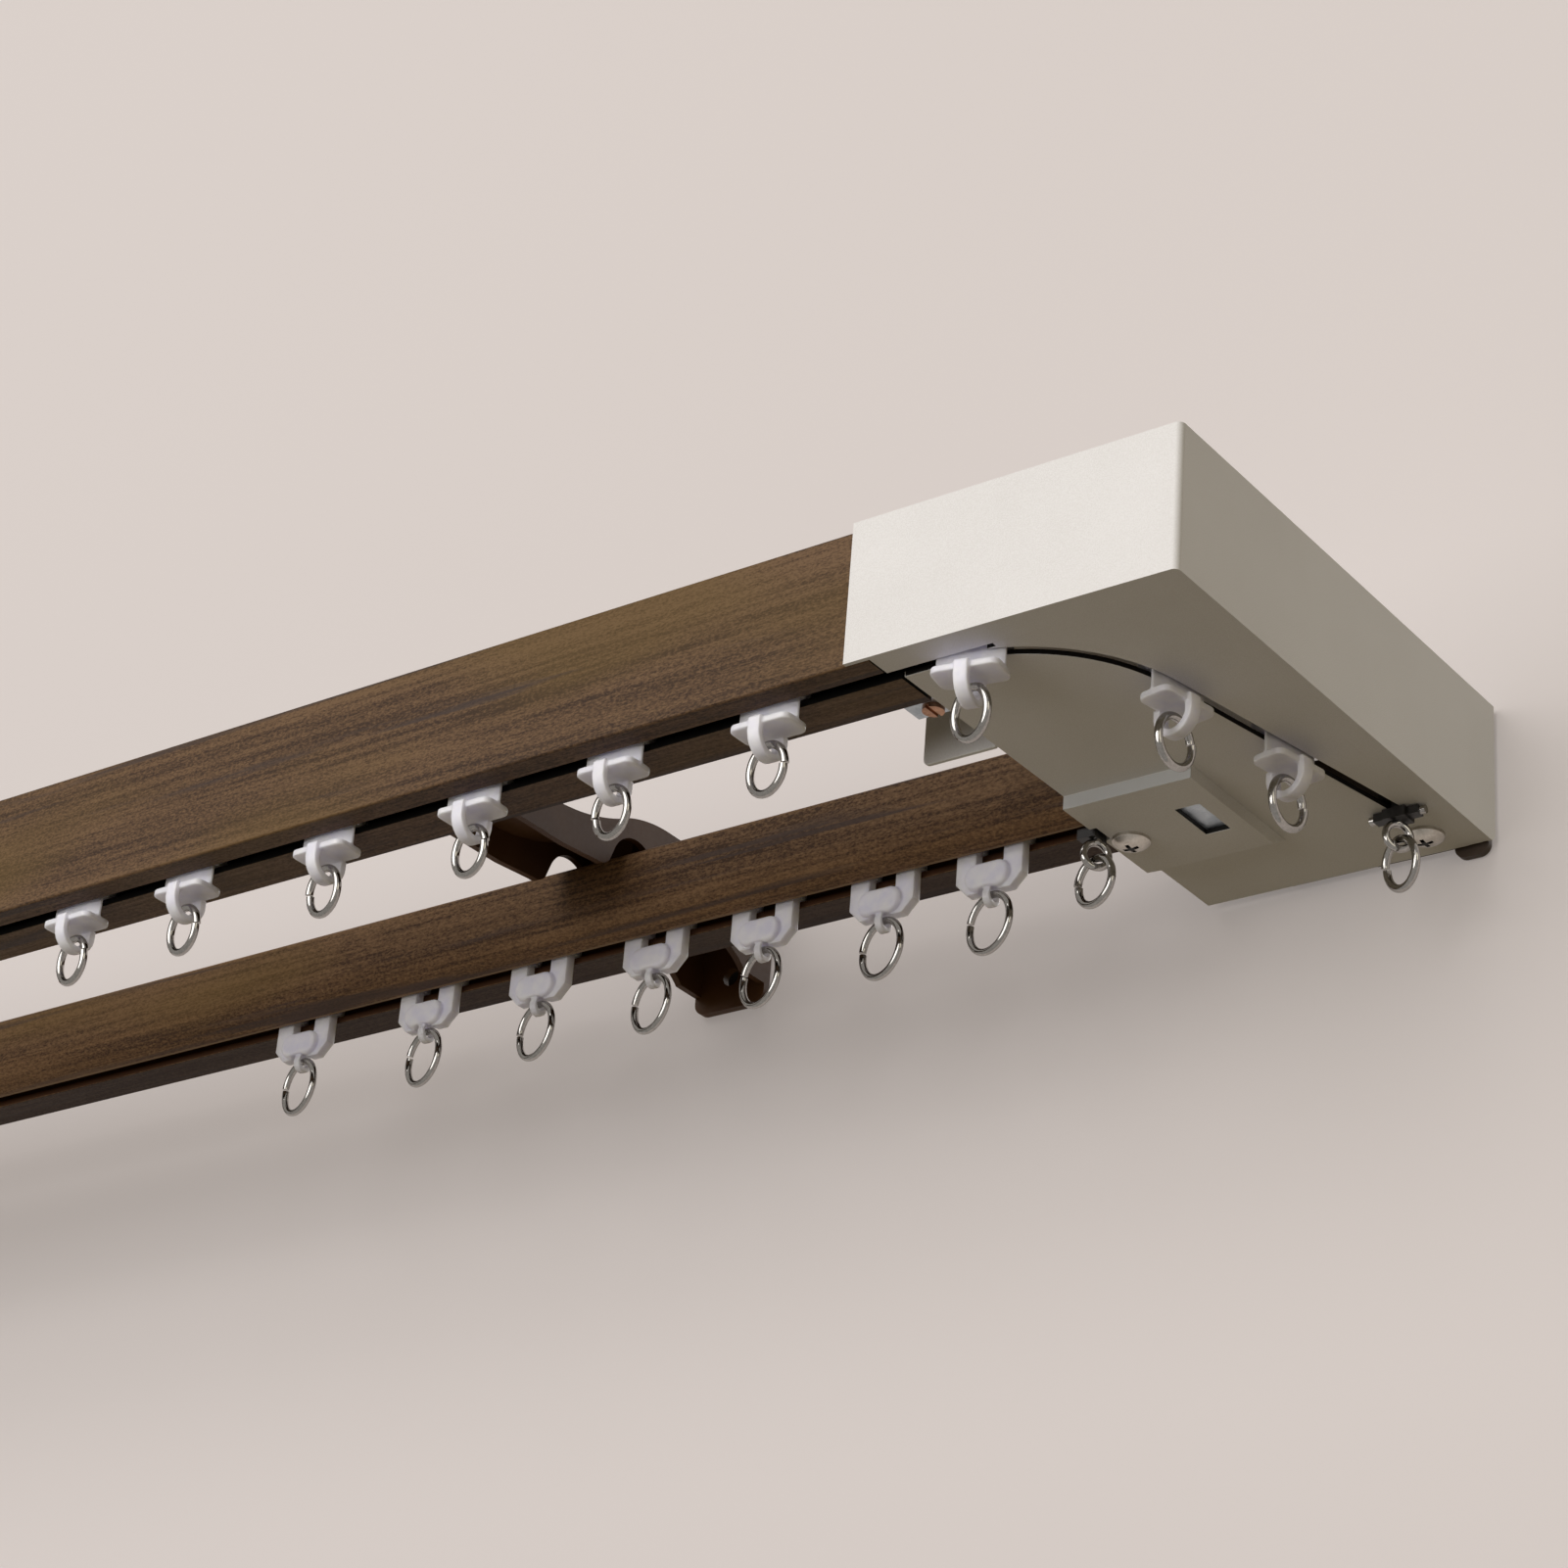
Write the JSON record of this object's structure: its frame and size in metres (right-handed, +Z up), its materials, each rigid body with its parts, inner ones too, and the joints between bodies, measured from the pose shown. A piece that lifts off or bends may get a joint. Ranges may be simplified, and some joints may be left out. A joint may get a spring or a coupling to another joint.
{
  "type": "double curtain track",
  "caption": "Double curtain track with a metal return cap: two rails on wall brackets, sliding runners with split rings, end stops and a curved runner slot in the cap's base.",
  "frame": {"origin": "on the wall, midway between the two screw holes of the right bracket", "axes": "+X along the rails towards the return cap, +Y into the wall, +Z up"},
  "size_m": [0.602, 0.1255, 0.0699],
  "materials": {
    "walnut_film": "satin walnut-patterned film over extruded metal",
    "cap_metal": "fine satin silver coating",
    "screw_metal": "polished, slightly golden plating",
    "zinc": "dull zinc plating",
    "copper_screw": "copper-coloured plating",
    "brown_paint": "smooth dark brown coating",
    "runner_plastic": "milky, slightly translucent plastic",
    "ring_chrome": "polished plated wire",
    "eye_chrome": "polished plated wire",
    "stopper_black": "satin black plastic"
  },
  "bodies": {
    "track": {"front_rail": "walnut_film", "rear_rail": "walnut_film", "front_end_cap": "walnut_film", "rear_end_cap": "walnut_film", "cap_shell": "cap_metal", "cap_base": "cap_metal", "cap_screws": "screw_metal", "cap_wall_bracket": "brown_paint", "rail_end_plate": "zinc", "connector_plate": "zinc", "connector_screw": "copper_screw", "inner_brace": "cap_metal", "bracket_right": "brown_paint", "bracket_left": "brown_paint", "front_stopper": "stopper_black", "front_stopper_eye": "eye_chrome", "rear_stopper": "stopper_black", "rear_stopper_eye": "eye_chrome", "stopper_pins": "eye_chrome"},
    "front_runner_1": {"front_runner_1": "runner_plastic"},
    "front_runner_2": {"front_runner_2": "runner_plastic"},
    "front_runner_3": {"front_runner_3": "runner_plastic"},
    "front_runner_4": {"front_runner_4": "runner_plastic"},
    "front_runner_5": {"front_runner_5": "runner_plastic"},
    "front_runner_6": {"front_runner_6": "runner_plastic"},
    "front_runner_7": {"front_runner_7": "runner_plastic"},
    "front_runner_8": {"front_runner_8": "runner_plastic"},
    "front_runner_9": {"front_runner_9": "runner_plastic"},
    "rear_runner_1": {"rear_runner_1": "runner_plastic"},
    "rear_runner_2": {"rear_runner_2": "runner_plastic"},
    "rear_runner_3": {"rear_runner_3": "runner_plastic"},
    "rear_runner_4": {"rear_runner_4": "runner_plastic"},
    "rear_runner_5": {"rear_runner_5": "runner_plastic"},
    "rear_runner_6": {"rear_runner_6": "runner_plastic"},
    "rear_runner_7": {"rear_runner_7": "runner_plastic"},
    "front_ring_1": {"front_ring_1": "ring_chrome"},
    "front_ring_2": {"front_ring_2": "ring_chrome"},
    "front_ring_3": {"front_ring_3": "ring_chrome"},
    "front_ring_4": {"front_ring_4": "ring_chrome"},
    "front_ring_5": {"front_ring_5": "ring_chrome"},
    "front_ring_6": {"front_ring_6": "ring_chrome"},
    "front_ring_7": {"front_ring_7": "ring_chrome"},
    "front_ring_8": {"front_ring_8": "ring_chrome"},
    "front_ring_9": {"front_ring_9": "ring_chrome"},
    "rear_ring_1": {"rear_ring_1": "ring_chrome"},
    "rear_ring_2": {"rear_ring_2": "ring_chrome"},
    "rear_ring_3": {"rear_ring_3": "ring_chrome"},
    "rear_ring_4": {"rear_ring_4": "ring_chrome"},
    "rear_ring_5": {"rear_ring_5": "ring_chrome"},
    "rear_ring_6": {"rear_ring_6": "ring_chrome"},
    "rear_ring_7": {"rear_ring_7": "ring_chrome"},
    "front_stopper_ring": {"front_stopper_ring": "ring_chrome"},
    "rear_stopper_ring": {"rear_stopper_ring": "ring_chrome"}
  },
  "joints": [
    {"name": "front_runner_1_slide", "type": "slide", "parent": "track", "child": "front_runner_1", "axis": [1, 0, 0], "range_m": [-0.3014, 0.0096]},
    {"name": "front_runner_2_slide", "type": "slide", "parent": "track", "child": "front_runner_2", "axis": [1, 0, 0], "range_m": [-0.0096, 0.0131]},
    {"name": "front_runner_3_slide", "type": "slide", "parent": "track", "child": "front_runner_3", "axis": [1, 0, 0], "range_m": [-0.0131, 0.0127]},
    {"name": "front_runner_4_slide", "type": "slide", "parent": "track", "child": "front_runner_4", "axis": [1, 0, 0], "range_m": [-0.0127, 0.011]},
    {"name": "front_runner_5_slide", "type": "slide", "parent": "track", "child": "front_runner_5", "axis": [1, 0, 0], "range_m": [-0.011, 0.0117]},
    {"name": "front_runner_6_slide", "type": "slide", "parent": "track", "child": "front_runner_6", "axis": [1, 0, 0], "range_m": [-0.0117, 0.024]},
    {"name": "front_runner_7_arc", "type": "hinge", "parent": "track", "child": "front_runner_7", "pos_m": [0.13857, -0.0832, -0.024], "axis": [0, 0, 1], "range_deg": [-12, 42]},
    {"name": "front_runner_8_slide", "type": "slide", "parent": "track", "child": "front_runner_8", "axis": [0.1874, 0.9823, 0], "range_m": [0, 0.0079]},
    {"name": "front_runner_9_slide", "type": "slide", "parent": "track", "child": "front_runner_9", "axis": [0.1874, 0.9823, 0], "range_m": [-0.0074, 0.017]},
    {"name": "rear_runner_1_slide", "type": "slide", "parent": "track", "child": "rear_runner_1", "axis": [1, 0, 0], "range_m": [-0.3052, 0.0108]},
    {"name": "rear_runner_2_slide", "type": "slide", "parent": "track", "child": "rear_runner_2", "axis": [1, 0, 0], "range_m": [-0.0108, 0.0082]},
    {"name": "rear_runner_3_slide", "type": "slide", "parent": "track", "child": "rear_runner_3", "axis": [1, 0, 0], "range_m": [-0.0082, 0.0079]},
    {"name": "rear_runner_4_slide", "type": "slide", "parent": "track", "child": "rear_runner_4", "axis": [1, 0, 0], "range_m": [-0.0079, 0.0064]},
    {"name": "rear_runner_5_slide", "type": "slide", "parent": "track", "child": "rear_runner_5", "axis": [1, 0, 0], "range_m": [-0.0064, 0.0073]},
    {"name": "rear_runner_6_slide", "type": "slide", "parent": "track", "child": "rear_runner_6", "axis": [1, 0, 0], "range_m": [-0.0073, 0.0051]},
    {"name": "rear_runner_7_slide", "type": "slide", "parent": "track", "child": "rear_runner_7", "axis": [1, 0, 0], "range_m": [-0.0051, 0.0108]},
    {"name": "front_ring_1_swing", "type": "hinge", "parent": "front_runner_1", "child": "front_ring_1", "pos_m": [-0.0953, -0.1172, -0.03165], "axis": [0.9613, -0.2756, 0], "range_deg": [-75, 75]},
    {"name": "front_ring_2_swing", "type": "hinge", "parent": "front_runner_2", "child": "front_ring_2", "pos_m": [-0.0608, -0.1172, -0.03165], "axis": [0.9613, -0.2756, 0], "range_deg": [-75, 75]},
    {"name": "front_ring_3_swing", "type": "hinge", "parent": "front_runner_3", "child": "front_ring_3", "pos_m": [-0.0194, -0.1172, -0.03165], "axis": [0.9613, -0.2756, 0], "range_deg": [-75, 75]},
    {"name": "front_ring_4_swing", "type": "hinge", "parent": "front_runner_4", "child": "front_ring_4", "pos_m": [0.0214, -0.1172, -0.03165], "axis": [0.9613, -0.2756, 0], "range_deg": [-75, 75]},
    {"name": "front_ring_5_swing", "type": "hinge", "parent": "front_runner_5", "child": "front_ring_5", "pos_m": [0.0587, -0.1172, -0.03165], "axis": [0.9613, -0.2756, 0], "range_deg": [-75, 75]},
    {"name": "front_ring_6_swing", "type": "hinge", "parent": "front_runner_6", "child": "front_ring_6", "pos_m": [0.0975, -0.1172, -0.03165], "axis": [0.9613, -0.2756, 0], "range_deg": [-75, 75]},
    {"name": "front_ring_7_swing", "type": "hinge", "parent": "front_runner_7", "child": "front_ring_7", "pos_m": [0.1446, -0.11666, -0.03165], "axis": [0.9903, -0.1392, 0], "range_deg": [-75, 75]},
    {"name": "front_ring_8_swing", "type": "hinge", "parent": "front_runner_8", "child": "front_ring_8", "pos_m": [0.17235, -0.0876, -0.03165], "axis": [-0.108, 0.9942, 0], "range_deg": [-75, 75]},
    {"name": "front_ring_9_swing", "type": "hinge", "parent": "front_runner_9", "child": "front_ring_9", "pos_m": [0.17845, -0.0556, -0.03165], "axis": [-0.108, 0.9942, 0], "range_deg": [-75, 75]},
    {"name": "rear_ring_1_swing", "type": "hinge", "parent": "rear_runner_1", "child": "rear_ring_1", "pos_m": [-0.0906, -0.0465, -0.0349], "axis": [0.9613, -0.2756, 0], "range_deg": [-55, 55]},
    {"name": "rear_ring_2_swing", "type": "hinge", "parent": "rear_runner_2", "child": "rear_ring_2", "pos_m": [-0.0519, -0.0465, -0.0349], "axis": [0.9613, -0.2756, 0], "range_deg": [-55, 55]},
    {"name": "rear_ring_3_swing", "type": "hinge", "parent": "rear_runner_3", "child": "rear_ring_3", "pos_m": [-0.0185, -0.0465, -0.0349], "axis": [0.9613, -0.2756, 0], "range_deg": [-55, 55]},
    {"name": "rear_ring_4_swing", "type": "hinge", "parent": "rear_runner_4", "child": "rear_ring_4", "pos_m": [0.0144, -0.0465, -0.0349], "axis": [0.9613, -0.2756, 0], "range_deg": [-55, 55]},
    {"name": "rear_ring_5_swing", "type": "hinge", "parent": "rear_runner_5", "child": "rear_ring_5", "pos_m": [0.0443, -0.0465, -0.0349], "axis": [0.9613, -0.2756, 0], "range_deg": [-55, 55]},
    {"name": "rear_ring_6_swing", "type": "hinge", "parent": "rear_runner_6", "child": "rear_ring_6", "pos_m": [0.076, -0.0465, -0.0349], "axis": [0.9613, -0.2756, 0], "range_deg": [-55, 55]},
    {"name": "rear_ring_7_swing", "type": "hinge", "parent": "rear_runner_7", "child": "rear_ring_7", "pos_m": [0.1032, -0.0465, -0.0349], "axis": [0.9613, -0.2756, 0], "range_deg": [-55, 55]},
    {"name": "front_stopper_ring_swing", "type": "hinge", "parent": "track", "child": "front_stopper_ring", "pos_m": [0.18469, -0.0229, -0.03075], "axis": [0.9613, -0.2756, 0], "range_deg": [-70, 70]},
    {"name": "rear_stopper_ring_swing", "type": "hinge", "parent": "track", "child": "rear_stopper_ring", "pos_m": [0.1286, -0.0465, -0.03235], "axis": [0.9613, -0.2756, 0], "range_deg": [-70, 70]}
  ]
}
